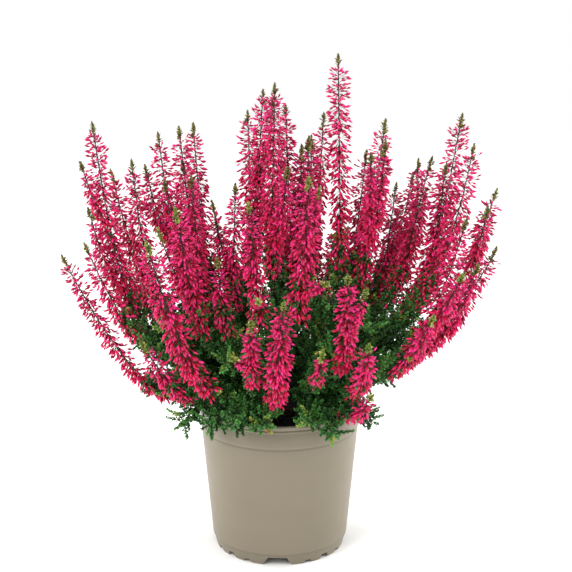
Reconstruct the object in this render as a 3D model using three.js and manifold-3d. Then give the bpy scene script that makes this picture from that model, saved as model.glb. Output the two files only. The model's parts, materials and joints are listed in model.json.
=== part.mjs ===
// Potted heather: a pot of soil with seven leafy stems, which carry fifty flowering sprays.
// Millimetres, +Z up. The origin is on the pot's axis, at the level of the pot's foot.
import * as THREE from 'three';
import { mergeVertices } from 'three/addons/utils/BufferGeometryUtils.js';
import Module from 'manifold-3d';

const wasm = await Module();
wasm.setup();

// ---------------------------------------------------------------- driving dimensions

const GAP = 0.3; // clearance between pieces that meet
const PAST = 3; // how far a cutter runs past what it cuts

// Pot: [radius, height] from the middle of the underside, up the outside and down the inside
const FLOOR = { under: 6.8, top: 9.4 };
const SKIRT = { inside: 42.5, outside: 46.8 };
const INSIDE = { foot: [46, FLOOR.top], top: [53, 104.8] };
const POT_OUTLINE = [
  [0, FLOOR.under], [SKIRT.inside, FLOOR.under], // underside, raised inside the skirt
  [42.8, 0], [45, 0], // foot of the skirt
  [SKIRT.outside, 7.6], [47.4, 8.2], // skirt and its step
  [54.9, 89.4], [55.5, 89.9], // wall, and the lower edge of the band
  [55, 100.6], [55.7, 101.2], // band, and the small ring above it
  [55.1, 102.4], [56.5, 103.2], // groove under the lip
  [56.5, 105.2], [55.8, 105.8], // lip
  [53.8, 105.8], INSIDE.top, // inner edge of the lip
  INSIDE.foot, [0, 8.6], // inside wall and floor
];
const POT_SIDES = 32;
// Notches in the skirt of each quarter: [angle in degrees, width above, width below, height]
const NOTCHES = [[-2, 13, 21, 6.2], [25.5, 4, 6.5, 2.4], [43, 5, 8.5, 3.8], [60.5, 4, 6.5, 2.4]];
const DRAIN = { count: 4, radius: 4.5, ring: 30, sides: 8 };
const RIM = { radius: 55, height: 104.5, clear: 3 }; // what hangs over the pot keeps clear of it

// Soil, with a surface that swells and dips in waves
const SOIL = { top: 101, floor: 9.8, sides: 16, rings: [0.84, 0.62, 0.38, 0] };
const WAVE = { height: 0.9, across: 0.31, along: 0.27, shift: 1 };

// Leafy stems: each rises from its own hole, on a ring round a middle one, and leans outward
const STEMS = 7;
const HOLE = { radius: 2.75, depth: 22, sides: 8 };
const STEM = {
  ring: 19, turn: 0.3, radius: 2.2, sides: 5, steps: 6,
  foot: 3, // height above the soil from which it bends
  lean: 0.6, crownRing: 40, crown: 156, middleCrown: 178,
};
const STEM_LEAF = { core: 4, reach: 14, lift: 5, jitter: 0.2, from: 3, pushes: 0.8 };

// Branches: each leaves the stem that is nearest at the place below, some way under its own end,
// and one without flowers leaves it so much higher that it arches over
const CARRIER = { place: 5, lowest: 2, drop: 8, slope: 0.55, arch: 20 };
const LEAF = {
  step: 20, sides: 3, core: 1.6, root: 0.8, lift: 3.5, jitter: 0.2,
  reach: 8, shootReach: 11, bareReach: 2.2,
  grows: 28, // distance along a branch at which its leaves reach their full length
  follows: 0.5, // how far it starts along its stem rather than outward
};

// Spikes: buds up to a bare neck, and a small green tip above it
const BUD = {
  step: 14.6, sides: 4, sideSides: 3, core: 2.3, taper: 0.9, lift: 1.2, jitter: 0.14, slim: 0.06,
};
const TIP = { length: 11, radius: 1.9, neck: 0.9, widest: 0.55 };
const RISE = { foot: -0.25, end: 0.25, shoot: -0.15, side: 0.8 }; // how much each bends upward
const SPREAD = { rounds: 90, push: 0.4, clear: 0.4, smooth: 0.18, home: 0.05 };
const SEEDS = { stem: 100, spray: 200 };

// Flowering sprays. Each row is where the lowest buds are, then the tip of each spike:
// [x, y, z, radius over the buds], with the share of the first spike's height where a side spike
// leaves it.
const SPRAYS = [
  // left side
  [[-104, -8, 169], [-125, 0, 302, 8.5], [-132, -14, 278, 5.5, 0.5], [-127, -20, 248, 6, 0.05]],
  [[-88, 2, 170], [-100, 8, 275, 8], [-117, 32, 263, 7, 0.1]],
  [[-68, 16, 182], [-84, 36, 288, 8], [-92, 18, 269, 7, 0.25]],
  [[-55, 3, 188], [-68, 15, 296, 8], [-78, 2, 262, 7, 0.1]],
  [[-50, 22, 176], [-60, 44, 293, 7.5]],
  [[-51, -25, 173], [-58, -24, 271, 8]],
  [[-52, -48, 170], [-67, -56, 257, 9], [-80, -42, 240, 7, 0.08]],
  [[-100, -30, 160], [-130, -24, 225, 7.5]],
  [[-84, -16, 108], [-150, 8, 208, 7.5]],
  [[-53, -58, 130], [-84, -80, 241, 9.5]],
  [[-66, -46, 117], [-91, -62, 169, 8]],
  [[-38, -42, 166], [-41, -45, 221, 7]],
  // middle
  [[-32, -13, 176], [-29, -22, 265, 8], [-46, 2, 248, 7.5, 0.1]],
  [[-19, 12, 200], [-11, 16, 321, 8], [-22, 36, 303, 8, 0.1], [-4, 30, 314, 5, 0.5]],
  [[-6, -14, 200], [-3, -6, 329, 8.5], [6, -34, 279, 7, 0.1]],
  [[9, 15, 192], [4, 12, 312, 7.5], [20, 18, 289, 8, 0.15], [15, 4, 286, 7.5, 0.1]],
  [[22, 34, 190], [22, 46, 284, 8.5], [31, 62, 297, 7.5, 0.15]],
  [[42, -2, 208], [39, 8, 346, 8]],
  [[14, -53, 184], [19, -62, 279, 9.5], [26, -52, 270, 5, 0.5], [32, -80, 213, 5.5, 0.05]],
  [[-12, -52, 176], [-20, -58, 261, 8], [-13, -78, 200, 6, 0.05]],
  // right side
  [[55, -5, 190], [71, 5, 303, 8.5], [70, -18, 293, 6.5, 0.3], [60, -24, 286, 5.5, 0.3]],
  [[48, 17, 184], [60, 30, 277, 8.5]],
  [[74, 18, 176], [81, 30, 254, 9], [94, 50, 256, 8, 0.1]],
  [[83, 11, 180], [104, 13, 276, 8.5], [96, 34, 270, 8, 0.15]],
  [[90, -4, 168], [124, 20, 304, 8.5], [112, 0, 274, 8.5, 0.08]],
  [[100, -12, 182], [130, -4, 288, 8.5]],
  [[112, -8, 157], [147, 2, 256, 8], [139, -16, 248, 7, 0.5]],
  [[94, -38, 154], [123, -38, 246, 8], [120, -58, 214, 8, 0.1]],
  [[93, -18, 138], [146, -14, 220, 8], [132, -36, 214, 8, 0.15]],
  [[84, -46, 142], [100, -74, 190, 8]],
  // front
  [[-18, -68, 138], [-18, -94, 193, 7], [-32, -88, 166, 4.5, 0.1]],
  [[-4, -64, 124], [3, -102, 208, 9]],
  [[46, -62, 150], [43, -94, 223, 8], [56, -86, 212, 5, 0.4]],
  [[57, -66, 128], [57, -96, 178, 7.5]],
  [[47, -52, 104], [61, -80, 138, 7.5]],
  [[25, -70, 142], [28, -92, 172, 6]],
  // back
  [[-88, 36, 150], [-124, 56, 215, 8], [-104, 72, 180, 7, 0.1]],
  [[-60, 60, 150], [-84, 92, 225, 8.5]],
  [[-30, 70, 158], [-48, 96, 212, 8]],
  [[0, 74, 160], [-5, 100, 235, 8.5]],
  [[30, 72, 155], [44, 98, 214, 8]],
  [[60, 60, 150], [88, 88, 220, 8.5]],
  [[90, 36, 150], [120, 60, 206, 8], [102, 76, 172, 7, 0.1]],
  [[-56, 44, 178], [-70, 70, 262, 8], [-106, 66, 240, 7.5, 0.1]],
  [[-4, 54, 188], [0, 74, 284, 8], [-20, 88, 262, 7, 0.15]],
  [[52, 46, 182], [68, 74, 256, 8]],
  [[80, 46, 178], [106, 74, 240, 8]],
  [[26, 60, 180], [22, 92, 250, 7.5]],
  [[-26, 66, 122], [-32, 102, 180, 8]],
  [[32, 64, 122], [36, 102, 184, 8]],
];

// Leafy shoots without flowers: where each one ends
const SHOOTS = [
  // leaning out over the rim
  [-65, -38, 103], [-46, -52, 107], [-28, -66, 112], [-8, -64, 118], [22, -66, 114], [38, -60, 108],
  [60, -42, 107], [76, 4, 124], [66, 46, 110], [16, 76, 110], [-34, 74, 108], [-76, 40, 112],
  [-88, -4, 118], [2, -38, 122],
  // between the feet of the sprays
  [61, -37, 170], [30, -28, 182], [-27, 43, 180], [-77, -30, 165], [-100, 18, 147], [-34, -56, 152],
  [-5, -28, 176], [80, 44, 148], [102, 18, 146], [57, -24, 145], [33, -48, 158], [17, -7, 192],
  [-72, 45, 168], [-64, -24, 150], [-82, 18, 166], [37, 46, 156], [66, -58, 148], [-6, -52, 146],
];

// ---------------------------------------------------------------- small helpers

const vec = (x, y, z) => new THREE.Vector3(x, y, z);
const UP = vec(0, 0, 1);

/** Repeatable draws from 0 to 1. */
function seeded(seed) {
  let state = seed >>> 0;
  return () => {
    state = (state + 0x6d2b79f5) >>> 0;
    let word = Math.imul(state ^ (state >>> 15), state | 1);
    word ^= word + Math.imul(word ^ (word >>> 7), word | 61);
    return ((word ^ (word >>> 14)) >>> 0) / 4294967296;
  };
}

/** Cubic through two points with a direction and speed at each. */
function cubic(start, startSpeed, end, endSpeed, share) {
  const s2 = share * share;
  const s3 = s2 * share;
  return vec(0, 0, 0)
    .addScaledVector(start, 2 * s3 - 3 * s2 + 1)
    .addScaledVector(startSpeed, s3 - 2 * s2 + share)
    .addScaledVector(end, 3 * s2 - 2 * s3)
    .addScaledVector(endSpeed, s3 - s2);
}

/** A position-only geometry with merged corners and no flat triangles. */
function cleanGeometry(geometry) {
  geometry.deleteAttribute('normal');
  geometry.deleteAttribute('uv');
  const merged = mergeVertices(geometry, 1e-4);
  const index = Array.from(merged.index.array);
  const kept = [];
  for (let i = 0; i < index.length; i += 3) {
    const [a, b, c] = index.slice(i, i + 3);
    if (a !== b && b !== c && c !== a) kept.push(a, b, c);
  }
  merged.setIndex(kept);
  return merged;
}

function toSolid(geometry) {
  const clean = cleanGeometry(geometry);
  return new wasm.Manifold(new wasm.Mesh({
    numProp: 3,
    vertProperties: Float32Array.from(clean.attributes.position.array),
    triVerts: Uint32Array.from(clean.index.array),
  }));
}

/** A geometry from a solid, with only its largest body: scraps and sealed hollows are dropped. */
function fromSolid(solid) {
  const { vertProperties, triVerts } = solid.getMesh();
  const parent = Array.from({ length: vertProperties.length / 3 }, (_, i) => i);
  const root = (i) => {
    let at = i;
    while (parent[at] !== at) at = parent[at];
    parent[i] = at;
    return at;
  };
  for (let i = 0; i < triVerts.length; i += 3) {
    parent[root(triVerts[i + 1])] = root(triVerts[i]);
    parent[root(triVerts[i + 2])] = root(triVerts[i]);
  }
  const bodies = new Map();
  for (let i = 0; i < triVerts.length; i += 3) {
    const body = root(triVerts[i]);
    if (!bodies.has(body)) bodies.set(body, []);
    bodies.get(body).push(triVerts[i], triVerts[i + 1], triVerts[i + 2]);
  }
  const largest = [...bodies.values()].reduce((a, b) => (b.length > a.length ? b : a));
  return geometryOf(Array.from(vertProperties), largest);
}

function geometryOf(positions, triangles) {
  const geometry = new THREE.BufferGeometry();
  geometry.setAttribute('position', new THREE.Float32BufferAttribute(positions, 3));
  geometry.setIndex(triangles);
  return geometry;
}

const join = (geometries) => fromSolid(geometries.map(toSolid).reduce((a, b) => a.add(b)));

// ---------------------------------------------------------------- where everything grows

/** The stem with the given number: its hole's place, its course from the hole to the crown. */
function stemCourse(number) {
  const middle = number === 0;
  const angle = ((number - 1) * 2 * Math.PI) / (STEMS - 1) + STEM.turn;
  const out = middle ? vec(0, 0, 0) : vec(Math.cos(angle), Math.sin(angle), 0);
  const hole = out.clone().multiplyScalar(STEM.ring);
  const foot = hole.clone().setZ(SOIL.top + STEM.foot);
  const crown = out.clone().multiplyScalar(STEM.crownRing);
  crown.z = middle ? STEM.middleCrown : STEM.crown;
  const rise = foot.distanceTo(crown);
  const startSpeed = UP.clone().multiplyScalar(rise);
  const endSpeed = out.clone().multiplyScalar(STEM.lean).add(UP).setLength(rise);
  const points = [hole.clone().setZ(SOIL.top - HOLE.depth + GAP)];
  for (let i = 0; i <= STEM.steps; i += 1) {
    points.push(cubic(foot, startSpeed, crown, endSpeed, i / STEM.steps));
  }
  return { number, hole, points };
}

/** The stem that a point hangs on, and the place along it where its branch leaves. */
function carrierOf(point, stems) {
  const flat = (p) => Math.hypot(p.x - point.x, p.y - point.y);
  const away = (stem) => flat(stem.points[CARRIER.place]);
  const stem = stems.reduce((a, b) => (away(b) < away(a) ? b : a));
  const crown = stem.points.length - 1;
  const drop = CARRIER.slope * flat(stem.points[crown]) + CARRIER.drop;
  let place = CARRIER.lowest;
  while (place < crown && stem.points[place + 1].z < point.z - drop) place += 1;
  return { stem, place };
}

/** Courses of the branches and spikes: points, how far they reach sideways, and what they belong to. */
function layOut(stems) {
  const strands = [];
  const branch = (end, endDirection, carrier, spray, fullReach) => {
    const { stem, place } = carrier;
    const start = stem.points[place];
    const along = stem.points[place].clone().sub(stem.points[place - 1]).normalize();
    const length = start.distanceTo(end);
    const outward = end.clone().sub(start).setZ(0).normalize();
    const startSpeed = along.multiplyScalar(LEAF.follows).add(outward).setLength(length);
    const endSpeed = endDirection.clone().multiplyScalar(length);
    const steps = Math.max(3, Math.round(length / LEAF.step));
    const strand = { kind: 'branch', stem: stem.number, spray, points: [], reach: [], fixed: 2 };
    for (let i = 0; i <= steps; i += 1) {
      strand.points.push(cubic(start, startSpeed, end, endSpeed, i / steps));
      const grown = Math.min(1, (i * length) / steps / LEAF.grows);
      strand.reach.push(LEAF.bareReach + (fullReach - LEAF.bareReach) * grown);
    }
    strands.push(strand);
    return strand;
  };
  const spike = (start, startDirection, tip, spray, parent, place) => {
    const end = vec(...tip);
    const length = start.distanceTo(end);
    const startSpeed = startDirection.clone().multiplyScalar(length);
    const chord = end.clone().sub(start).normalize();
    const endSpeed = chord.addScaledVector(UP, RISE.end).setLength(length);
    const steps = Math.max(2, Math.round((length - TIP.length) / BUD.step));
    const strand = { kind: 'spike', stem: -1, spray, points: [], reach: [], fixed: 0, parent, place };
    for (let i = 0; i <= steps; i += 1) {
      const share = (i / steps) * (1 - TIP.length / length);
      strand.points.push(cubic(start, startSpeed, end, endSpeed, share));
      const swell = 1 - BUD.slim + BUD.slim * Math.sin((Math.PI * i) / steps);
      strand.reach.push(tip[3] * swell);
    }
    strand.points.push(end);
    strand.reach.push(TIP.radius);
    strands.push(strand);
    return strand;
  };
  SPRAYS.forEach(([base, first, ...others], spray) => {
    const start = vec(...base);
    const chord = vec(...first.slice(0, 3)).sub(start).normalize();
    const direction = chord.clone().addScaledVector(UP, RISE.foot).normalize();
    const stalk = branch(start, direction, carrierOf(start, stems), spray, LEAF.reach);
    const main = spike(start, direction, first, spray);
    stalk.flower = main;
    main.stalk = stalk;
    for (const tip of others) {
      const place = Math.max(1, Math.round(tip[4] * (main.points.length - 2)));
      const root = main.points[place];
      const side = vec(...tip.slice(0, 3)).sub(root).setZ(0).normalize();
      const sideDirection = side.addScaledVector(chord, RISE.side).normalize();
      spike(root, sideDirection, tip, spray, main, place);
    }
  });
  SHOOTS.forEach((tip, number) => {
    const end = vec(...tip);
    const direction = end.clone().setZ(0).normalize().addScaledVector(UP, RISE.shoot).normalize();
    const carrier = carrierOf(end.clone().addScaledVector(UP, CARRIER.arch), stems);
    branch(end, direction, carrier, -1 - number, LEAF.shootReach);
  });
  return strands;
}

/** Bends strands of different pieces clear of each other and of the pot's rim. */
function bendClear(strands, stems) {
  const dots = [];
  for (const strand of strands) {
    strand.home = strand.points.map((p) => p.clone());
    strand.points.forEach((point, i) => {
      dots.push({ point, reach: strand.reach[i], strand, free: i >= strand.fixed });
    });
  }
  for (const stem of stems) {
    const strand = { stem: stem.number, spray: -1000 };
    stem.points.forEach((point, i) => {
      const reach = i < STEM_LEAF.from ? STEM.radius : STEM_LEAF.reach * STEM_LEAF.pushes;
      dots.push({ point, reach, strand, free: false });
    });
  }
  const related = (a, b) => a.spray === b.spray || (a.stem >= 0 && a.stem === b.stem);
  for (let round = 0; round < SPREAD.rounds; round += 1) {
    const moves = dots.map(() => vec(0, 0, 0));
    for (let i = 0; i < dots.length; i += 1) {
      for (let j = i + 1; j < dots.length; j += 1) {
        const a = dots[i];
        const b = dots[j];
        const need = a.reach + b.reach + SPREAD.clear;
        const apart = a.point.clone().sub(b.point);
        const distance = apart.length();
        if (distance < need && distance > 0 && !related(a.strand, b.strand)) {
          const push = apart.multiplyScalar((SPREAD.push * (need - distance)) / distance);
          moves[i].add(push);
          moves[j].sub(push);
        }
      }
    }
    dots.forEach(({ point, reach, free }, i) => {
      if (!free) return;
      point.add(moves[i]);
      const flat = Math.hypot(point.x, point.y);
      const away = vec(flat - RIM.radius, point.z - RIM.height, 0);
      const need = reach + RIM.clear;
      if (away.length() < need) {
        away.setLength(need);
        const scale = (RIM.radius + away.x) / flat;
        point.set(point.x * scale, point.y * scale, RIM.height + away.y);
      }
    });
    for (const strand of strands) {
      const before = strand.points.map((p) => p.clone());
      const last = strand.points.length - 1;
      for (let i = strand.fixed; i <= last; i += 1) {
        const ahead = i < last ? before[i + 1] : strand.flower?.points[1];
        if (i > 0 && ahead) {
          const middle = before[i - 1].clone().add(ahead).multiplyScalar(0.5);
          strand.points[i].lerp(middle, SPREAD.smooth);
        }
        strand.points[i].lerp(strand.home[i], SPREAD.home);
      }
    }
    for (const strand of strands) {
      if (strand.flower) strand.flower.points[0].copy(strand.points[strand.points.length - 1]);
      if (strand.parent) strand.points[0].copy(strand.parent.points[strand.place]);
    }
  }
}

/** The direction in which a branch meets the spike that it carries. */
function meeting(branch) {
  return branch.flower.points[1].clone().sub(branch.points[branch.points.length - 2]).normalize();
}

// ---------------------------------------------------------------- shapes

/**
 * A closed body along a course. Each ring of corners is turned half a step from the one before, and
 * the diamond round each edge of a ring rises to a pointed bud or leaf. A ring with no reach is plain.
 */
function studded(points, cores, reaches, { sides, lift, jitter, capped, start, end }, draw) {
  const positions = [];
  const triangles = [];
  const last = points.length - 1;
  let across = vec(1, 0, 0);
  const frames = points.map((point, i) => {
    const along = points[Math.min(last, i + 1)].clone().sub(points[Math.max(0, i - 1)]).normalize();
    if (i === 0 && start) along.copy(start);
    if (i === last && end) along.copy(end);
    across = across.clone().addScaledVector(along, -across.dot(along));
    if (across.length() < 0.1) across = vec(0, 1, 0).addScaledVector(along, -along.y);
    across.normalize();
    return { point, along, across, third: along.clone().cross(across) };
  });
  const at = ({ point, along, across: a, third }, radius, turn, rise) => {
    const angle = (2 * Math.PI * turn) / sides;
    const place = point.clone().addScaledVector(a, radius * Math.cos(angle));
    place.addScaledVector(third, radius * Math.sin(angle)).addScaledVector(along, rise);
    positions.push(place.x, place.y, place.z);
    return positions.length / 3 - 1;
  };
  const rings = frames.slice(0, capped ? last + 1 : last).map((frame, i) => {
    const corners = [];
    for (let k = 0; k < sides; k += 1) corners.push(at(frame, cores[i], k + (i % 2) / 2, 0));
    return corners;
  });
  const top = capped ? -1 : at(frames[last], 0, 0, 0);
  for (let k = 1; k + 1 < sides; k += 1) triangles.push(rings[0][0], rings[0][k + 1], rings[0][k]);
  rings.forEach((ring, i) => {
    for (let k = 0; k < sides; k += 1) {
      const left = ring[k];
      const right = ring[(k + 1) % sides];
      const facing = (k + (i % 2)) % sides;
      const above = i + 1 < rings.length ? rings[i + 1][facing] : top;
      const below = i > 0 ? rings[i - 1][facing] : -1;
      if (reaches[i] > 0 && above >= 0 && below >= 0) {
        const reach = reaches[i] * (1 - jitter * draw());
        const turn = k + 0.5 + (i % 2) / 2 + 0.3 * jitter * (draw() - 0.5);
        const tip = at(frames[i], reach, turn, lift * (1 + 2 * jitter * (draw() - 0.5)));
        triangles.push(left, below, tip, below, right, tip, right, above, tip, above, left, tip);
      } else {
        if (above >= 0) triangles.push(left, right, above);
        if (below >= 0) triangles.push(left, below, right);
      }
    }
  });
  if (capped) {
    const lid = rings[last];
    for (let k = 1; k + 1 < sides; k += 1) triangles.push(lid[0], lid[k], lid[k + 1]);
  }
  return geometryOf(positions, triangles);
}

/** A flower spike: buds all round and up its course, then a bare neck and a small green shoot. */
function spikeBody(strand, draw) {
  const top = strand.points.length - 2;
  const neck = strand.points[top];
  const tip = strand.points[top + 1];
  const points = [...strand.points.slice(0, top + 1), neck.clone().lerp(tip, TIP.widest), tip];
  const cores = points.map((_, i) => (i === top ? TIP.neck : BUD.core - (BUD.taper * i) / top));
  cores[top + 1] = TIP.radius;
  const reaches = points.map((_, i) => (i > 0 && i < top ? strand.reach[i] : 0));
  const sides = strand.parent ? BUD.sideSides : BUD.sides;
  const start = strand.stalk ? meeting(strand.stalk) : null;
  return studded(points, cores, reaches, { ...BUD, sides, start, capped: false }, draw);
}

/** A leafy branch. One that carries a spray stops just short of it, cut square. */
function branchBody(strand, draw) {
  const points = strand.points.map((p) => p.clone());
  const last = points.length - 1;
  const capped = Boolean(strand.flower);
  const end = capped ? meeting(strand) : null;
  if (capped) points[last].addScaledVector(end, -GAP);
  const cores = points.map((_, i) => LEAF.core * (i === 0 ? LEAF.root : 1));
  const reaches = points.map((_, i) => (i > 0 && i < last ? strand.reach[i] : 0));
  return studded(points, cores, reaches, { ...LEAF, capped, end }, draw);
}

/** A stem: bare where it leaves the soil, thick with leaves above. */
function stemBody(stem, draw) {
  const leafy = stem.points.map((_, i) => i >= STEM_LEAF.from);
  const cores = leafy.map((hasLeaves) => (hasLeaves ? STEM_LEAF.core : STEM.radius));
  const reaches = leafy.map((hasLeaves) => (hasLeaves ? STEM_LEAF.reach : 0));
  const { lift, jitter } = STEM_LEAF;
  return studded(stem.points, cores, reaches, { sides: STEM.sides, lift, jitter, capped: false }, draw);
}

/** A turned body about Z. */
function turned(outline, sides) {
  const profile = outline.map(([radius, height]) => new THREE.Vector2(radius, height));
  return new THREE.LatheGeometry(profile, sides).rotateX(Math.PI / 2);
}

function potBody() {
  let pot = toSolid(turned(POT_OUTLINE, POT_SIDES));
  for (let quarter = 0; quarter < 4; quarter += 1) {
    for (const [degrees, above, below, height] of NOTCHES) {
      const shape = new THREE.Shape([
        new THREE.Vector2(-below / 2, -GAP), new THREE.Vector2(below / 2, -GAP),
        new THREE.Vector2(above / 2, height), new THREE.Vector2(-above / 2, height),
      ]);
      const depth = SKIRT.outside - SKIRT.inside + 2 * PAST;
      const cutter = new THREE.ExtrudeGeometry(shape, { depth, bevelEnabled: false });
      cutter.rotateX(Math.PI / 2).translate(0, PAST - SKIRT.inside, 0);
      cutter.rotateZ(THREE.MathUtils.degToRad(degrees + 90 * quarter));
      pot = pot.subtract(toSolid(cutter));
    }
  }
  const { radius, ring, count, sides } = DRAIN;
  const length = FLOOR.top - FLOOR.under + 2 * PAST;
  for (let i = 0; i < count; i += 1) {
    const angle = ((i + 0.5) * 2 * Math.PI) / count;
    const hole = new THREE.CylinderGeometry(radius, radius, length, sides).rotateX(Math.PI / 2);
    const middle = (FLOOR.top + FLOOR.under) / 2;
    hole.translate(ring * Math.cos(angle), ring * Math.sin(angle), middle);
    pot = pot.subtract(toSolid(hole));
  }
  return fromSolid(pot);
}

/** Inside radius of the pot at a height. */
function potInside(height) {
  const { foot, top } = INSIDE;
  return foot[0] + ((top[0] - foot[0]) * (height - foot[1])) / (top[1] - foot[1]);
}

function soilBody(stems) {
  const edge = potInside(SOIL.top) - GAP;
  const outline = [
    [0, SOIL.floor], [potInside(SOIL.floor) - GAP, SOIL.floor], [edge, SOIL.top - WAVE.height],
    ...SOIL.rings.map((share) => [edge * share, SOIL.top]),
  ];
  const geometry = turned(outline, SOIL.sides);
  const position = geometry.attributes.position;
  for (let i = 0; i < position.count; i += 1) {
    const wave = Math.sin(position.getX(i) * WAVE.across + WAVE.shift)
      * Math.cos(position.getY(i) * WAVE.along);
    if (position.getZ(i) === SOIL.top) position.setZ(i, SOIL.top + WAVE.height * wave);
  }
  let soil = toSolid(geometry);
  const { radius, depth, sides } = HOLE;
  for (const { hole } of stems) {
    const cutter = new THREE.CylinderGeometry(radius, radius, depth + PAST, sides);
    cutter.rotateX(Math.PI / 2).translate(hole.x, hole.y, SOIL.top + (PAST - depth) / 2);
    soil = soil.subtract(toSolid(cutter));
  }
  return fromSolid(soil);
}

// ---------------------------------------------------------------- the potted plant

const plant = new THREE.Group();
const MATERIALS = {
  pot: new THREE.MeshStandardMaterial({ color: 0x968c79, roughness: 0.55, metalness: 0 }),
  soil: new THREE.MeshStandardMaterial({ color: 0x1b1512, roughness: 1, metalness: 0 }),
  leaf: new THREE.MeshStandardMaterial({ color: 0x24662f, roughness: 0.7, metalness: 0 }),
  flower: new THREE.MeshStandardMaterial({ color: 0xd8235c, roughness: 0.5, metalness: 0 }),
};

function addPiece(name, geometry, material) {
  const mesh = new THREE.Mesh(geometry, material);
  mesh.name = name;
  plant.add(mesh);
}

const numbered = (name, index) => `${name}_${String(index + 1).padStart(2, '0')}`;

const stems = Array.from({ length: STEMS }, (_, number) => stemCourse(number));
const strands = layOut(stems);
bendClear(strands, stems);

addPiece('pot', potBody(), MATERIALS.pot);
addPiece('soil', soilBody(stems), MATERIALS.soil);
for (const stem of stems) {
  const draw = seeded(SEEDS.stem + stem.number);
  const branches = strands.filter((strand) => strand.stem === stem.number);
  const bodies = [stemBody(stem, draw), ...branches.map((strand) => branchBody(strand, draw))];
  addPiece(numbered('leafy_stem', stem.number), join(bodies), MATERIALS.leaf);
}
SPRAYS.forEach((_, number) => {
  const draw = seeded(SEEDS.spray + number);
  const spikes = strands.filter((strand) => strand.kind === 'spike' && strand.spray === number);
  const body = join(spikes.map((strand) => spikeBody(strand, draw)));
  addPiece(numbered('flower_spray', number), body, MATERIALS.flower);
});

export default plant;
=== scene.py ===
"""Dresses the potted heather: a moulded pot, peat, leafy stems, and sprays of pink buds."""
import json
import math
from dataclasses import dataclass
from itertools import combinations

import bpy
import numpy as np
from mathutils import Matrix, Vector, noise

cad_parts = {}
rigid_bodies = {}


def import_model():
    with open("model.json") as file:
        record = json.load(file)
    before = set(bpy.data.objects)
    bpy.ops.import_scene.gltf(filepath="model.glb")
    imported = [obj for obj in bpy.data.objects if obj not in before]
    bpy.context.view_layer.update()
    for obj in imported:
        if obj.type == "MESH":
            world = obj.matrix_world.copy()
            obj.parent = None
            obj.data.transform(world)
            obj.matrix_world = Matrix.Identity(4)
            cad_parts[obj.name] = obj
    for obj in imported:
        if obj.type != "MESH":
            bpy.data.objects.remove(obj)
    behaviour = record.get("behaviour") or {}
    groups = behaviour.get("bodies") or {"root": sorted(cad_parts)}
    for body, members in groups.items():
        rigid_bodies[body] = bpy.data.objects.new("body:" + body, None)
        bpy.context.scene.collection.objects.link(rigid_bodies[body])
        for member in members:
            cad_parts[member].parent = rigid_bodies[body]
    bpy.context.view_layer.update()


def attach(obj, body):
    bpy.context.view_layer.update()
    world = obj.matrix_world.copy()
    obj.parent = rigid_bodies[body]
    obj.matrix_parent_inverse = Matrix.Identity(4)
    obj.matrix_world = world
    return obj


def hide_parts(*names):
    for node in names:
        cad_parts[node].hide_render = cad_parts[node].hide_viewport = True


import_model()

MM = 0.001  # lengths are in millimetres, and become metres where a mesh, light or camera is made
BODY = "root"
TURN = 2 * math.pi
X, Y, UP = np.eye(3)

# ------------------------ camera and light

IMAGE_SIDE = 572  # pixels
FOCAL = 1673.3  # pixels
CAMERA_AT = (4.4, -1100.0, 508.6)
CAMERA_PITCH = 16.26  # degrees below level
SENSOR = 36.0

# Soft boxes: place, what it faces, side length, power in watts
SOFT_BOXES = [
    ((-900, -1100, 1300), (0, 0, 200), 800, 17),
    ((1300, -300, 900), (0, 0, 180), 900, 8),
    ((0, 300, 1700), (0, 0, 150), 1200, 9),
    ((-1000, 500, 250), (0, 0, 80), 500, 7),
    ((1000, 500, 250), (0, 0, 80), 500, 7),
]
SKY = 1.0  # how bright it is
FLOOR_HALF = 1500  # half the side of the floor

# ------------------------ the part's own dimensions

GAP = 0.3  # clearance between pieces that meet

# Pot: (radius, height, how far its corner is softened), from the middle of the underside, up the
# outside and down the inside
POT_OUTLINE = [
    (0, 6.8, 0), (42.5, 6.8, 0.6),
    (42.8, 0, 0.6), (45, 0, 0.6),
    (46.8, 7.6, 0.25), (47.4, 8.2, 0.25),
    (54.8, 88.6, 0.25), (55.5, 89.6, 0.35),
    (55.3, 96, 3), (54.7, 100.2, 0.7), (55.8, 101.2, 0.5),
    (54.9, 102.5, 0.3), (56.5, 103.2, 0.8),
    (56.5, 105.2, 0.8), (55.8, 105.8, 0.6),
    (53.8, 105.8, 0.6), (53, 104.8, 0.6),
    (46, 9.4, 2), (0, 8.6, 0),
]
CORNER_STEPS = 4
POT_SIDES = 144
SHARP_EDGE = 38  # degrees
POT_TOP = 110  # the height at which its painted shade and highlights end
# How the plastic's colour changes with height: painted shade in the grooves and under the steps,
# and painted highlights on the edges: (height, share)
POT_PAINTED_SHADE_AND_HIGHLIGHTS = [
    (0, 0.94), (7.4, 0.94), (7.8, 0.8), (8.5, 0.8), (9.2, 1), (80, 1), (87.2, 0.97), (88, 0.72),
    (89.2, 0.72), (89.7, 1.12), (90.6, 1.05), (91.6, 1), (97, 0.97), (99.8, 0.82), (100.6, 0.84),
    (101, 1.08), (101.9, 1.04), (102.2, 0.7), (103, 0.72), (103.4, 1.02), (104.6, 1.06),
    (105.6, 1.25), (110, 1.25),
]
# Notches in the skirt of each quarter: (angle in degrees, width above, width below, height)
NOTCHES = [(-2, 13, 21, 6.2), (25.5, 4, 6.5, 2.4), (43, 5, 8.5, 3.8), (60.5, 4, 6.5, 2.4)]
NOTCH_RADII = (39.5, 49.8)  # what cuts the notches reaches past both sides of the skirt
DRAIN_HOLES = 4
DRAIN_RADIUS = 4.5
DRAIN_RING = 30
DRAIN_HEIGHTS = (3, 12)  # what cuts the holes reaches past both sides of the floor
DRAIN_SIDES = 24
RIM_RADIUS = 55  # what hangs over the pot keeps clear of its rim
RIM_HEIGHT = 104.5
RIM_CLEAR = 3

SOIL_TOP = 101
SOIL_FLOOR = 9.8
HOLE_DEPTH = 22

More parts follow.
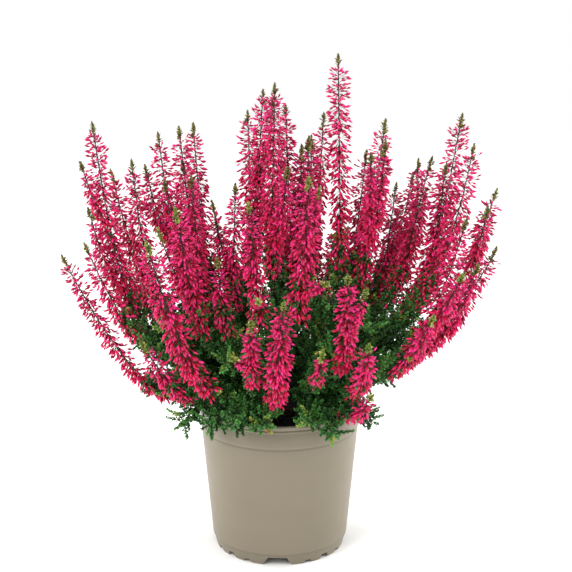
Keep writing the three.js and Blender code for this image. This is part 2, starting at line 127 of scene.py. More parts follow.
STEMS = 7
STEM_RING = 19
STEM_TURN = 0.3
STEM_RADIUS = 2.2
STEM_STEPS = 6
STEM_FOOT = 3  # height above the soil from which it bends
STEM_LEAN = 0.6
CROWN_RING = 40
CROWN = 156
MIDDLE_CROWN = 178
STEM_REACH = 14
STEM_LEAFY_FROM = 3  # a place along a stem
LEAFY_BELOW = 6  # how far its leaves start below that place
STEM_PUSHES = 0.8  # the share of its reach that keeps others away

# Where a branch leaves its stem
CARRIER_PLACE = 5  # the place on each stem that has to be near
CARRIER_LOWEST = 2  # a place along the stem
CARRIER_DROP = 8  # below the branch's end,
CARRIER_SLOPE = 0.55  # and further by this share of how far it is away
CARRIER_ARCH = 20  # how much higher for a branch without flowers

BRANCH_STEP = 20
BRANCH_REACH = 8
BRANCH_FOLLOWS = 0.5  # how far it starts along its stem rather than outward
BRANCH_FOOT = 5  # length of a branch below its leaves
SHOOT_REACH = 11
BARE_REACH = 2.2
BRANCH_GROWS = 28  # distance along a branch at which its leaves reach their full length
SPIKE_STEP = 14.6
SPIKE_SLIM = 0.06  # how much narrower a spike is at its foot and neck
TIP_LENGTH = 11
TIP_RADIUS = 1.9

# How much each bends upward or downward
FOOT_DIP = 0.25
END_RISE = 0.25
SHOOT_DIP = 0.15
SIDE_RISE = 0.8

SPREAD_ROUNDS = 90
SPREAD_PUSH = 0.4
SPREAD_CLEAR = 0.4
SPREAD_SMOOTH = 0.18
SPREAD_HOME = 0.05

# Flowering sprays. Each row is where the lowest buds are, then the tip of each spike:
# (x, y, z, radius over the buds), with the share of the first spike's height where a side spike
# leaves it.
SPRAYS = [
    # left side
    [(-104, -8, 169), (-125, 0, 302, 8.5), (-132, -14, 278, 5.5, 0.5), (-127, -20, 248, 6, 0.05)],
    [(-88, 2, 170), (-100, 8, 275, 8), (-117, 32, 263, 7, 0.1)],
    [(-68, 16, 182), (-84, 36, 288, 8), (-92, 18, 269, 7, 0.25)],
    [(-55, 3, 188), (-68, 15, 296, 8), (-78, 2, 262, 7, 0.1)],
    [(-50, 22, 176), (-60, 44, 293, 7.5)],
    [(-51, -25, 173), (-58, -24, 271, 8)],
    [(-52, -48, 170), (-67, -56, 257, 9), (-80, -42, 240, 7, 0.08)],
    [(-100, -30, 160), (-130, -24, 225, 7.5)],
    [(-84, -16, 108), (-150, 8, 208, 7.5)],
    [(-53, -58, 130), (-84, -80, 241, 9.5)],
    [(-66, -46, 117), (-91, -62, 169, 8)],
    [(-38, -42, 166), (-41, -45, 221, 7)],
    # middle
    [(-32, -13, 176), (-29, -22, 265, 8), (-46, 2, 248, 7.5, 0.1)],
    [(-19, 12, 200), (-11, 16, 321, 8), (-22, 36, 303, 8, 0.1), (-4, 30, 314, 5, 0.5)],
    [(-6, -14, 200), (-3, -6, 329, 8.5), (6, -34, 279, 7, 0.1)],
    [(9, 15, 192), (4, 12, 312, 7.5), (20, 18, 289, 8, 0.15), (15, 4, 286, 7.5, 0.1)],
    [(22, 34, 190), (22, 46, 284, 8.5), (31, 62, 297, 7.5, 0.15)],
    [(42, -2, 208), (39, 8, 346, 8)],
    [(14, -53, 184), (19, -62, 279, 9.5), (26, -52, 270, 5, 0.5), (32, -80, 213, 5.5, 0.05)],
    [(-12, -52, 176), (-20, -58, 261, 8), (-13, -78, 200, 6, 0.05)],
    # right side
    [(55, -5, 190), (71, 5, 303, 8.5), (70, -18, 293, 6.5, 0.3), (60, -24, 286, 5.5, 0.3)],
    [(48, 17, 184), (60, 30, 277, 8.5)],
    [(74, 18, 176), (81, 30, 254, 9), (94, 50, 256, 8, 0.1)],
    [(83, 11, 180), (104, 13, 276, 8.5), (96, 34, 270, 8, 0.15)],
    [(90, -4, 168), (124, 20, 304, 8.5), (112, 0, 274, 8.5, 0.08)],
    [(100, -12, 182), (130, -4, 288, 8.5)],
    [(112, -8, 157), (147, 2, 256, 8), (139, -16, 248, 7, 0.5)],
    [(94, -38, 154), (123, -38, 246, 8), (120, -58, 214, 8, 0.1)],
    [(93, -18, 138), (146, -14, 220, 8), (132, -36, 214, 8, 0.15)],
    [(84, -46, 142), (100, -74, 190, 8)],
    # front
    [(-18, -68, 138), (-18, -94, 193, 7), (-32, -88, 166, 4.5, 0.1)],
    [(-4, -64, 124), (3, -102, 208, 9)],
    [(46, -62, 150), (43, -94, 223, 8), (56, -86, 212, 5, 0.4)],
    [(57, -66, 128), (57, -96, 178, 7.5)],
    [(47, -52, 104), (61, -80, 138, 7.5)],
    [(25, -70, 142), (28, -92, 172, 6)],
    # back
    [(-88, 36, 150), (-124, 56, 215, 8), (-104, 72, 180, 7, 0.1)],
    [(-60, 60, 150), (-84, 92, 225, 8.5)],
    [(-30, 70, 158), (-48, 96, 212, 8)],
    [(0, 74, 160), (-5, 100, 235, 8.5)],
    [(30, 72, 155), (44, 98, 214, 8)],
    [(60, 60, 150), (88, 88, 220, 8.5)],
    [(90, 36, 150), (120, 60, 206, 8), (102, 76, 172, 7, 0.1)],
    [(-56, 44, 178), (-70, 70, 262, 8), (-106, 66, 240, 7.5, 0.1)],
    [(-4, 54, 188), (0, 74, 284, 8), (-20, 88, 262, 7, 0.15)],
    [(52, 46, 182), (68, 74, 256, 8)],
    [(80, 46, 178), (106, 74, 240, 8)],
    [(26, 60, 180), (22, 92, 250, 7.5)],
    [(-26, 66, 122), (-32, 102, 180, 8)],
    [(32, 64, 122), (36, 102, 184, 8)],
]

# Leafy shoots without flowers: where each one ends
SHOOTS = [
    # leaning out over the rim
    (-65, -38, 103), (-46, -52, 107), (-28, -66, 112), (-8, -64, 118), (22, -66, 114),
    (38, -60, 108), (60, -42, 107), (76, 4, 124), (66, 46, 110), (16, 76, 110), (-34, 74, 108),
    (-76, 40, 112), (-88, -4, 118), (2, -38, 122),
    # between the feet of the sprays
    (61, -37, 170), (30, -28, 182), (-27, 43, 180), (-77, -30, 165), (-100, 18, 147),
    (-34, -56, 152), (-5, -28, 176), (80, 44, 148), (102, 18, 146), (57, -24, 145),
    (33, -48, 158), (17, -7, 192), (-72, 45, 168), (-64, -24, 150), (-82, 18, 166),
    (37, 46, 156), (66, -58, 148), (-6, -52, 146),
]

# ------------------------ peat, buds and leaves, true to size

PEAT_SEED, STEM_SEED, SPRAY_SEED = 11, 300, 500
PEAT_RINGS = 40
PEAT_SIDES = 112
PEAT_SWELLS = ((15, 1.5, 3.0), (5, 1.0, 17.0), (2.2, 0.7, 40.0))  # (size, height, seed)
CRUMBS = 850
CRUMB_SIZE = (0.45, 1.5)  # the least, and what chance adds to it
FIBRES = 90
FIBRE_RADIUS = (0.12, 0.3)

BUD_LENGTH = 4.6
BUD_WIDTH = 1.75
BUD_WIDEST = 0.52  # how far along it is widest
BUD_STALK = 0.36  # its width
SHORTEST_STALK = 0.4
LONGEST_BUD = 0.86  # the share of a spike's reach
BUD_OVERREACH = 1.18  # of the room that a spike is given, so that neighbours mingle
BUD_SIDES = 4
BUD_STRAY = 17  # degrees
INNER_BUDS = 0.42  # the share of buds that stay close to the axis
INNER_REACH = 0.62  # of how far the others reach
# What changes along a spike: (shares of its height, the values there)
WHORL_GAP = ((0, 0.6, 1), (2.0, 2.2, 2.6))
BUD_TILT = ((0, 0.7, 1), (92, 86, 66))  # degrees from the spike's own direction
BUD_DROOP = ((0, 0.6, 0.85, 1), (1.15, 0.8, 0.35, 0.05))
BUD_SIZE = ((0, 0.8, 1), (1.05, 1, 0.86))
WHORL_BUDS = ((4.5, 9.5), (7.8, 12.8))  # (how far the buds reach, buds in a whorl)
NECK_TAPER = ((-14, -4, 0), (1, 0.92, 0.68))  # (distance to the neck, share of the reach)
BARE_FOOT = 1.5  # length of a spike below its lowest buds
BARE_SIDE_FOOT = 5.0
BRACTS = 3  # in a whorl
BRACT_LENGTH = 2.3
BRACT_WIDTH = 0.8
BRACT_TILT = 48
AXIS_RADIUS = (0.52, 0.36)  # at its foot and tip
BRANCH_RADIUS = (1.15, AXIS_RADIUS[0])
STEM_TAPER = (STEM_RADIUS, 1.2)
STEM_KNOBS = 0.12  # how much thicker a stem is at its knobs
TWIG_WIDTH = 0.5
STEM_SIDES, TWIG_SIDES, FIBRE_SIDES = 9, 6, 4

TUFT_LEAF = (3.4, 2.1)  # length and width
TUFT_GAP = 0.62
TUFT_SHARE = 0.73  # of a spike's tip, above a bare neck
SIDE_TUFTS = 2  # at most
SIDE_TUFT = (2.8, 4.2)  # least and most length
NEAR_SIDE = -40  # spikes whose tips are in front of this have young ones
OLD_LIME, YOUNG_LIME = (0.0, 0.2), (0.4, 0.8)  # how lime a tip is: least and most
LEAF_LENGTH = 3.4
LEAF_WIDTH = 2.6
LEAF_GAP = 1.35  # between pairs of leaves along a shoot
LEAF_VARIES = (0.85, 1.15)
# What changes along a shoot or tuft: how many degrees its leaves lean out, and their size
SHOOT_LEAVES = {"lean": ((0, 1), (62, 28)), "size": ((0, 1), (1.05, 0.75)), "stray": 8}
TUFT_LEAVES = {"lean": ((0, 0.35, 1), (44, 60, 14)), "size": ((0, 0.3, 1), (0.6, 1.1, 0.75)),
               "stray": 10}
SHOOT_FOOT = 0.12  # the share of a shoot below its first leaves
SHOOT_BEND = UP * 0.18
SHOOT_LEAN = (38, 74)  # least and most degrees from its branch
SHOOT_SHORTEST = 2.5
END_SHOOT = 7  # length of the shoot at the end of a branch without flowers
SHOOT_GAP = 1.45  # between places where side shoots leave a branch
STEM_FULLNESS = 1.25
BRANCH_FULLNESS = 1.12
LEAFY_FOOT = 16  # length of the foot of a spike where leaves grow among the buds
OLD_SHOOTS = 0.02  # the share of side shoots that have turned yellow
GOLDEN_TURN = math.radians(137.5)


# ------------------------ where everything grows

def lengths_of(vectors):
    return np.linalg.norm(vectors, axis=-1, keepdims=True)


def unit(vectors):
    return vectors / np.maximum(lengths_of(vectors), 1e-12)


def swing(first, second, angle):
    """One direction, swung toward another that is square to it."""
    return first * np.cos(angle) + second * np.sin(angle)


def flat(vector):
    return vector * (X + Y)


def nearest_whole(number):
    return math.floor(number + 0.5)


def cubic(start, start_speed, end, end_speed, shares):
    """Points of a cubic through two points, with a direction and speed at each."""
    share = shares[:, None]
    s2, s3 = share ** 2, share ** 3
    return (start * (2 * s3 - 3 * s2 + 1) + start_speed * (s3 - 2 * s2 + share)
            + end * (3 * s2 - 2 * s3) + end_speed * (s3 - s2))


@dataclass
class Strand:
    """A branch or a flower spike: its course, and how far its leaves or buds reach."""
    points: np.ndarray
    reach: np.ndarray
    stem: int  # the stem that a branch belongs to, or -1
    spray: int  # below 0 for a shoot without flowers
    fixed: int  # points from its root that don't move
    flower: "Strand" = None  # the spike that a branch carries
    parent: "Strand" = None  # the spike that a side spike leaves
    place: int = 0  # where on its parent


def stem_course(number):
    middle = number == 0
    angle = (number - 1) * TURN / (STEMS - 1) + STEM_TURN
    out = np.zeros(3) if middle else swing(X, Y, angle)
    hole = out * STEM_RING
    foot = hole + UP * (SOIL_TOP + STEM_FOOT)
    crown = out * CROWN_RING + UP * (MIDDLE_CROWN if middle else CROWN)
    rise = np.linalg.norm(foot - crown)
    end_speed = unit(out * STEM_LEAN + UP) * rise
    above = cubic(foot, UP * rise, crown, end_speed, np.linspace(0, 1, STEM_STEPS + 1))
    return np.vstack([hole + UP * (SOIL_TOP - HOLE_DEPTH + GAP), above])


def carrier_of(point, stems):
    """The stem that a point hangs on, and the place along it where its branch leaves."""
    def away(other):
        return math.hypot(other[0] - point[0], other[1] - point[1])
    number = min(range(STEMS), key=lambda i: away(stems[i][CARRIER_PLACE]))
    stem = stems[number]
    drop = CARRIER_SLOPE * away(stem[-1]) + CARRIER_DROP
    place = CARRIER_LOWEST
    while place < len(stem) - 1 and stem[place + 1][2] < point[2] - drop:
        place += 1
    return number, place


def branch_strand(end, direction, stems, carrier, spray, full_reach):
    number, place = carrier
    start = stems[number][place]
    along = unit(start - stems[number][place - 1])
    length = np.linalg.norm(start - end)
    start_speed = unit(along * BRANCH_FOLLOWS + unit(flat(end - start))) * length
    shares = np.linspace(0, 1, max(3, nearest_whole(length / BRANCH_STEP)) + 1)
    points = cubic(start, start_speed, end, direction * length, shares)
    reach = np.interp(shares * length, (0, BRANCH_GROWS), (BARE_REACH, full_reach))
    return Strand(points, reach, number, spray, fixed=2)


def spike_strand(start, direction, tip, spray, parent=None, place=0):
    end = np.array(tip[:3], float)
    length = np.linalg.norm(start - end)
    end_direction = unit(unit(end - start) + UP * END_RISE)
    shares = np.linspace(0, 1, max(2, nearest_whole((length - TIP_LENGTH) / SPIKE_STEP)) + 1)
    points = cubic(start, direction * length, end, end_direction * length,
                   np.append(shares * (1 - TIP_LENGTH / length), 1))
    swell = 1 - SPIKE_SLIM + SPIKE_SLIM * np.sin(math.pi * shares)
    reach = np.append(tip[3] * swell, TIP_RADIUS)
    return Strand(points, reach, -1, spray, 0, parent=parent, place=place)


def lay_out(stems):
    """The branches and spikes of every spray, and the shoots, where they would like to grow."""
    strands = []
    for spray, (base, first, *others) in enumerate(SPRAYS):
        start = np.array(base, float)
        chord = unit(np.array(first[:3]) - start)
        direction = unit(chord - UP * FOOT_DIP)
        carrier = carrier_of(start, stems)
        stalk = branch_strand(start, direction, stems, carrier, spray, BRANCH_REACH)
        main = spike_strand(start, direction, first, spray)
        stalk.flower = main
        strands += [stalk, main]
        for tip in others:
            place = max(1, nearest_whole(tip[4] * (len(main.points) - 2)))
            root = main.points[place]
            aside = unit(flat(np.array(tip[:3]) - root))
            direction = unit(aside + chord * SIDE_RISE)
            strands.append(spike_strand(root, direction, tip, spray, main, place))
    for number, tip in enumerate(SHOOTS):
        end = np.array(tip, float)
        direction = unit(unit(flat(end)) - UP * SHOOT_DIP)
        carrier = carrier_of(end + UP * CARRIER_ARCH, stems)
        strands.append(branch_strand(end, direction, stems, carrier, -1 - number, SHOOT_REACH))
    return strands


def bend_clear(strands, stems):
    """Bends strands of different pieces clear of each other and of the pot's rim."""
    stem_reach = [STEM_RADIUS if i < STEM_LEAFY_FROM else STEM_REACH * STEM_PUSHES
                  for i in range(len(stems[0]))]
    points = np.vstack([s.points for s in strands] + stems)
    reach = np.concatenate([s.reach for s in strands] + [stem_reach] * STEMS)
    counts = [len(s.points) for s in strands] + [len(stem) for stem in stems]
    spray = np.repeat([s.spray for s in strands] + [len(SPRAYS)] * STEMS, counts)
    stem = np.repeat([s.stem for s in strands] + list(range(STEMS)), counts)
    free = np.zeros(len(points), bool)
    start = 0
    for strand in strands:
        end = start + len(strand.points)
        strand.points = points[start:end]  # a view, which moves with the whole
        free[start + strand.fixed:end] = True
        start = end
    homes = [strand.points.copy() for strand in strands]
    related = (spray[:, None] == spray) | ((stem[:, None] >= 0) & (stem[:, None] == stem))
    needs = np.where(related, 0, reach[:, None] + reach + SPREAD_CLEAR)
    for _ in range(SPREAD_ROUNDS):
        apart = points[:, None] - points
        distance = np.sqrt((apart ** 2).sum(-1))
        close = (distance < needs) & (distance > 0)
        push = SPREAD_PUSH * (needs - distance) / np.where(close, distance, 1)
        push = np.where(close, push, 0)
        points[free] += np.einsum("ij,ijk->ik", push, apart)[free]
        keep_off_rim(points, reach, free)
        for strand, home in zip(strands, homes):
            relax(strand, home)
        for strand in strands:
            if strand.flower:
                strand.flower.points[0] = strand.points[-1]
            if strand.parent:
                strand.points[0] = strand.parent.points[strand.place]


def keep_off_rim(points, reach, free):
    radius = np.hypot(points[:, 0], points[:, 1])
    away = np.stack([radius - RIM_RADIUS, points[:, 2] - RIM_HEIGHT], axis=1)
    need = reach + RIM_CLEAR
    near = free & (lengths_of(away)[:, 0] < need)
    away = unit(away) * need[:, None]
    points[near, :2] *= ((RIM_RADIUS + away[near, 0]) / radius[near])[:, None]
    points[near, 2] = RIM_HEIGHT + away[near, 1]


def relax(strand, home):
    """Smooths a strand a little, and draws it back a little to where it would like to grow."""
    before = strand.points.copy()
    last = len(before) - 1
    for i in range(strand.fixed, last + 1):
        ahead = before[i + 1] if i < last else None
        if i == last and strand.flower:
            ahead = strand.flower.points[1]
        if i > 0 and ahead is not None:
            middle = (before[i - 1] + ahead) * 0.5
            strand.points[i] += (middle - strand.points[i]) * SPREAD_SMOOTH
        strand.points[i] += (home[i] - strand.points[i]) * SPREAD_HOME


class Course:
    """A smooth line through knots, with the distance along it and a frame at every step."""

    def __init__(self, knots, step=2.6):
        ghosts = np.vstack([2 * knots[0] - knots[1], knots, 2 * knots[-1] - knots[-2]])
        stretches, marks = [knots[:1]], [0]
        for a, b, c, d in zip(ghosts, ghosts[1:], ghosts[2:], ghosts[3:]):
            count = max(2, math.ceil(np.linalg.norm(c - b) / step))
            t = (np.arange(1, count + 1) / count)[:, None]
            stretches.append(0.5 * (2 * b + (c - a) * t + (2 * a - 5 * b + 4 * c - d) * t ** 2
                                    + (3 * b - a - 3 * c + d) * t ** 3))
            marks.append(marks[-1] + count)
        self.points = np.vstack(stretches)
        steps = lengths_of(np.diff(self.points, axis=0))[:, 0]
        self.distance = np.concatenate([[0], np.cumsum(steps)])
        self.knots = self.distance[marks]
        self.along = unit(np.gradient(self.points, axis=0))
        self.across = np.empty_like(self.points)
        across = np.array([0.36, 0.93, 0.0])
        for i, along in enumerate(self.along):
            across = unit(across - along * across.dot(along))
            self.across[i] = across
        self.third = np.cross(self.along, self.across)

    def at(self, distance):
        """Place, direction and two directions across, at distances along the line."""
        def read(values):
            columns = [np.interp(distance, self.distance, column) for column in values.T]
            return np.stack(columns, axis=-1)
        return tuple(read(v) for v in (self.points, self.along, self.across, self.third))


# ------------------------ small solids, many at a time

class Heap:
    """Solids gathered for one piece. Each point has three numbers for its material to read:
    how far along its bud or leaf it is, its chance, and how fresh it is."""

    def __init__(self):
        self.solids = []
        self.count = 0

    def add(self, points, faces, slot, grown):
        self.solids.append([points, faces + self.count, np.full(len(faces), slot), grown])
        self.count += len(points)

    def add_copies(self, points, faces, slot, along, chance, fresh):
        """Many solids of one make: points is (solids, corners, 3), and faces are of the first."""
        solids, corners = points.shape[:2]
        offsets = np.arange(solids)[:, None, None] * corners
        grown = np.stack(np.broadcast_arrays(along, chance[:, None], fresh[:, None]), axis=-1)
        self.add(points.reshape(-1, 3), (faces + offsets).reshape(-1, 3), slot,
                 grown.reshape(-1, 3))

    def piece(self, name, materials, smooth):
        """A mesh object. smooth says for each material whether its faces are shaded smooth."""
        points, faces, slots, grown = joined(self.solids)
        mesh = mesh_of(name, points, faces)
        mesh.polygons.foreach_set("material_index", slots.astype(np.int32))
        mesh.polygons.foreach_set("use_smooth", np.array(smooth)[slots])
        attribute = mesh.attributes.new(name="grown", type="FLOAT_VECTOR", domain="POINT")
        attribute.data.foreach_set("vector", grown.astype(np.float32).ravel())
        for material in materials:
            mesh.materials.append(material)
        mesh.update()
        return linked(mesh)


def mesh_of(name, points, faces):
    mesh = bpy.data.meshes.new(name)
    mesh.from_pydata((np.asarray(points) * MM).tolist(), [], [list(face) for face in faces])
    mesh.update()
    return mesh


def linked(data):
    """A new object in the scene, with the name of its mesh, light or camera."""
    thing = bpy.data.objects.new(data.name, data)
    bpy.context.collection.objects.link(thing)
    return thing


def joined(rows):
    """Rows of arrays, as one array for each column."""
    return [np.concatenate(column) for column in zip(*rows)]


def across_of(aims, chance):
    """Two unit vectors across each aim, turned about it by chance."""
    first = unit(np.cross(aims, np.where(np.abs(aims[:, 2:]) > 0.9, X, UP)))
    second = np.cross(aims, first)
    turn = (TURN * chance)[:, None]
    return swing(first, second, turn), swing(second, -first, turn)


def around(across, third, sides):
    """Unit vectors to the corners of a ring."""
    return swing(across, third, TURN * np.arange(sides)[:, None] / sides)


def spindle_faces(sides, rings):
    """Faces of a solid with a point at each end: its root is corner 0, and its tip the last."""
    faces = []
    for k in range(sides):
        following = (k + 1) % sides
        faces.append((0, 1 + following, 1 + k))
        top = 1 + (rings - 1) * sides
        for low in range(1, top, sides):
            high = low + sides
            faces.append((low + k, low + following, high + following))
            faces.append((low + k, high + following, high + k))
        faces.append((top + k, top + following, top + sides))
    return np.array(faces)


BUD_FACES = spindle_faces(BUD_SIDES, 2)
STALK_ALONG = 0.12  # how far along a bud its stalk ends
BUD_ALONG = np.repeat([0, STALK_ALONG, STALK_ALONG + (1 - STALK_ALONG) * BUD_WIDEST, 1],
                      [1, BUD_SIDES, BUD_SIDES, 1])


def add_buds(heap, slot, roots, aims, stalks, lengths, widths, chance, fresh):
    """Pointed buds, each on a thin stalk."""
    across, third = across_of(aims, chance)
    ring = around(across[:, None], third[:, None], BUD_SIDES)
    feet = roots + aims * stalks[:, None]
    corners = [roots[:, None], feet[:, None] + ring * BUD_STALK / 2]
    corners.append((feet + aims * (lengths * BUD_WIDEST)[:, None])[:, None]
                   + ring * widths[:, None, None] / 2)
    corners.append((feet + aims * lengths[:, None])[:, None])
    heap.add_copies(np.concatenate(corners, axis=1), BUD_FACES, slot, BUD_ALONG, chance, fresh)


LEAF_FACES = np.array([(0, 2, 1), (1, 2, 3), (0, 1, 3), (0, 3, 2)])
LEAF_ALONG = np.array([0.0, 0.45, 0.45, 1.0])
LEAF_WIDEST = 0.64  # how far along it is widest
LEAF_KEEL = 0.3  # its depth, as a share of its width


def add_leaves(heap, slot, roots, aims, uppers, lengths, widths, chance, fresh):
    """Small keeled leaves, each a thin closed wedge, flat side up."""
    belly = roots + aims * (lengths * LEAF_WIDEST)[:, None] + uppers * (widths * LEAF_KEEL)[:, None]
    half = np.cross(aims, uppers) * (widths * 0.5)[:, None]
    tips = roots + aims * lengths[:, None]
    corners = np.stack([roots, belly - half, belly + half, tips], axis=1)
    heap.add_copies(corners, LEAF_FACES, slot, LEAF_ALONG, chance, fresh)


def upper_sides(aims, axes):
    """The way that the flat sides of leaves face: toward the axis that they grow from."""
    return unit(np.cross(np.cross(aims, axes), aims) + 1e-6)


def leaf_pairs(axis, bend, along, rng, lean, size, stray):
    """Leaves in pairs along a bent axis, each pair turned from the last: their aims, upper
    sides and sizes, and a way across the axis."""
    count = len(along)
    across, third = across_of(axis[None], rng.random(1))
    turn = np.tile([0, math.pi], count // 2) + np.arange(count) // 2 % 2 * math.pi / 2
    outward = swing(across, third, (turn + rng.normal(0, 0.25, count))[:, None])
    tilt = np.radians(np.interp(along, *lean) + rng.normal(0, stray, count))
    axes = unit(axis + 2 * bend * along[:, None])
    aims = unit(swing(axes, outward, tilt[:, None]))
    sizes = np.interp(along, *size) * rng.uniform(*LEAF_VARIES, count)
    return aims, upper_sides(aims, axes), sizes, third[0]


def add_tube(heap, slot, course, radii, sides):
    """A closed tube along a course, which comes to a point at each end."""
    count = len(course.points)
    ring = around(course.across[:, None], course.third[:, None], sides)
    rings = course.points[:, None] + ring * radii[:, None, None]
    points = np.vstack([course.points[:1] - course.along[:1] * radii[0], rings.reshape(-1, 3),
                        course.points[-1:] + course.along[-1:] * radii[-1]])
    along = np.concatenate([[0], np.repeat(np.linspace(0, 1, count), sides), [1]])
    grown = np.stack(np.broadcast_arrays(along, 0.5, 0.5), axis=-1)
    heap.add(points, spindle_faces(sides, count), slot, grown)


# ------------------------ materials

def screen(red, green, blue):
    """A colour for a socket, from its values of 0 to 255 on a screen."""
    channels = [c / 255 for c in (red, green, blue)]
    return (*[c / 12.92 if c < 0.04045 else ((c + 0.055) / 1.055) ** 2.4 for c in channels], 1.0)


class Paint:
    """A material made of nodes. Its colours are values of 0 to 255 on a screen."""

    def __init__(self, name, roughness=0.5, specular=0.3):
        self.material = bpy.data.materials.new(name)
        self.material.use_nodes = True
        self.tree = self.material.node_tree
        self.shader = self.tree.nodes["Principled BSDF"]
        self.shader.inputs["Roughness"].default_value = roughness
        self.shader.inputs["Specular IOR Level"].default_value = specular
        self.place = self.node("TexCoord").outputs["Object"]

    def node(self, kind, sockets=None, **settings):
        made = self.tree.nodes.new("ShaderNode" + kind)
        for key, value in settings.items():
            setattr(made, key, value)
        for key, value in (sockets or {}).items():
            self.put(made.inputs[key], value)
        return made

    def put(self, socket, value):
        """A socket's value, which is another socket, a colour or a number."""
        if isinstance(value, bpy.types.NodeSocket):
            self.tree.links.new(value, socket)
        elif isinstance(value, tuple) and socket.type == "RGBA":
            socket.default_value = screen(*value)
        else:
            socket.default_value = value

    def grown(self):
        """How far along, chance, and how fresh."""
        read = self.node("Attribute", attribute_name="grown").outputs["Vector"]
        return self.node("SeparateXYZ", {"Vector": read}).outputs

    def noise(self, size, detail=3.0, stretch=None):
        """Noise from 0 to 1, of that size in millimetres."""
        where = self.place
        if stretch:
            where = self.node("Mapping", {"Vector": where, "Scale": stretch}).outputs["Vector"]
        sockets = {"Vector": where, "Scale": 1 / (size * MM), "Detail": detail}
        return self.node("TexNoise", sockets).outputs["Fac"]

    def ramp(self, factor, *stops):
        """Stops are places from 0 to 1, each with a colour or a share of white."""
        made = self.node("ValToRGB", {"Fac": factor})
        elements = made.color_ramp.elements
        elements[0].position, elements[1].position = stops[0][0], stops[-1][0]
        for place, _ in stops[1:-1]:
            elements.new(place)
        for element, (_, value) in zip(elements, stops):
            element.color = screen(*value) if isinstance(value, tuple) else (*[value] * 3, 1)
        return made.outputs["Color"]

    def mix(self, factor, a, b, blend="MIX"):
        made = self.node("Mix", data_type="RGBA", blend_type=blend)
        for number, value in ((0, factor), (6, a), (7, b)):
            self.put(made.inputs[number], value)
        return made.outputs[2]

    def times(self, a, b):
        return self.mix(1.0, a, b, "MULTIPLY")

    def spread(self, value, low, high):
        """A number from 0 to 1 moved into a narrower spread."""
        made = self.node("MapRange", {"Value": value, "To Min": low, "To Max": high})
        return made.outputs["Result"]

    def mottled(self, colour, size, low, high):
        """The colour, lighter and darker in spots of that size in millimetres."""
        return self.times(colour, self.spread(self.noise(size), low, high))

    def finish(self, colour, bump, depth=0.1):
        """The material, with that colour and with bumps of that depth in millimetres."""
        sockets = {"Height": bump, "Distance": depth * MM, "Strength": 0.6}
        self.put(self.shader.inputs["Base Color"], colour)
        self.put(self.shader.inputs["Normal"], self.node("Bump", sockets).outputs["Normal"])
        return self.material


def bud_paint():
    """Crimson to pink, darker and duller at the stalk, each bud its own shade, and paler toward the
    tip: partly the bud's own paler tip, partly a painted highlight.
    """
    paint = Paint("bud_petals", roughness=0.4, specular=0.15)
    along, chance, fresh = paint.grown()
    young = paint.ramp(chance, (0, (114, 0, 40)), (0.35, (174, 2, 64)), (0.7, (206, 6, 96)),
                       (1, (228, 38, 134)))
    old = paint.ramp(chance, (0, (132, 4, 16)), (0.35, (204, 4, 42)), (0.75, (232, 10, 82)),
                     (1, (244, 42, 126)))
    stalk = paint.mix(paint.noise(4), (82, 22, 40), (118, 44, 44))
    fade = paint.ramp(along, (0, 0), (STALK_ALONG, 0.05), (0.3, 0.8), (0.5, 1))
    colour = paint.mix(fade, stalk, paint.mix(fresh, old, young))
    # paler pink toward the tip: partly the bud's own colour, partly a painted highlight
    colour = paint.mix(paint.ramp(along, (0.5, 0), (1, 0.42)), colour, (252, 112, 172))
    return paint.finish(paint.mottled(colour, 0.9, 0.8, 1.25), paint.noise(0.5), 0.12)


def leaf_paint():
    """Mid to dark green, with a few yellow and orange leaves; paler at the tip, partly the leaf's
    own colour and partly a painted highlight; darker further in, partly older leaves and partly
    painted shade.
    """
    paint = Paint("heather_leaf")
    along, chance, fresh = paint.grown()
    green = paint.ramp(chance, (0, (14, 38, 16)), (0.3, (31, 76, 29)), (0.62, (56, 114, 44)),
                       (0.9, (98, 154, 70)), (0.965, (180, 170, 58)), (1, (200, 116, 40)))
    # leaves further in on a branch or stem are darker and greyer: partly their age, partly painted
    # shade in the plant's depth
    colour = paint.mix(fresh, paint.times(green, (120, 140, 112)), green)
    # paler toward each leaf's tip: partly the leaf's own colour, partly a painted highlight
    colour = paint.mix(paint.ramp(along, (0.5, 0), (1, 0.3)), colour, (120, 184, 96))
    return paint.finish(paint.mottled(colour, 1.2, 0.75, 1.3), paint.noise(0.6))


def tip_paint():
    """The shoot above the topmost buds: olive brown where it is old, lime where it is young."""
    paint = Paint("spike_tip")
    along, chance, fresh = paint.grown()
    old = paint.ramp(chance, (0, (72, 60, 34)), (0.6, (112, 94, 52)), (1, (138, 124, 74)))
    young = paint.ramp(chance, (0, (92, 118, 46)), (0.6, (138, 162, 70)), (1, (182, 196, 104)))
    colour = paint.times(paint.mix(fresh, old, young), paint.spread(along, 0.7, 1.2))
    return paint.finish(paint.mottled(colour, 1.0, 0.75, 1.25), paint.noise(0.6))


def bract_paint():
    """Small leaves among the buds: green low on a spike, and a dull purple high on it."""
    paint = Paint("bract", roughness=0.55)
    along, chance, fresh = paint.grown()
    low = paint.mix(chance, (34, 72, 30), (92, 128, 52))
    high = paint.mix(chance, (52, 30, 48), (70, 68, 44))
    colour = paint.times(paint.mix(fresh, low, high), paint.spread(along, 0.7, 1.3))
    return paint.finish(colour, paint.noise(0.5))


def axis_paint():
    """The stalk of a spike: olive brown at its foot, dark purple at its top."""
    paint = Paint("spike_stalk", roughness=0.6, specular=0.25)
    along = paint.grown()[0]
    colour = paint.ramp(along, (0, (84, 66, 36)), (0.4, (84, 46, 36)), (0.75, (64, 28, 42)),
                        (1, (56, 40, 36)))
    return paint.finish(paint.mottled(colour, 1.4, 0.7, 1.3), paint.noise(0.6))


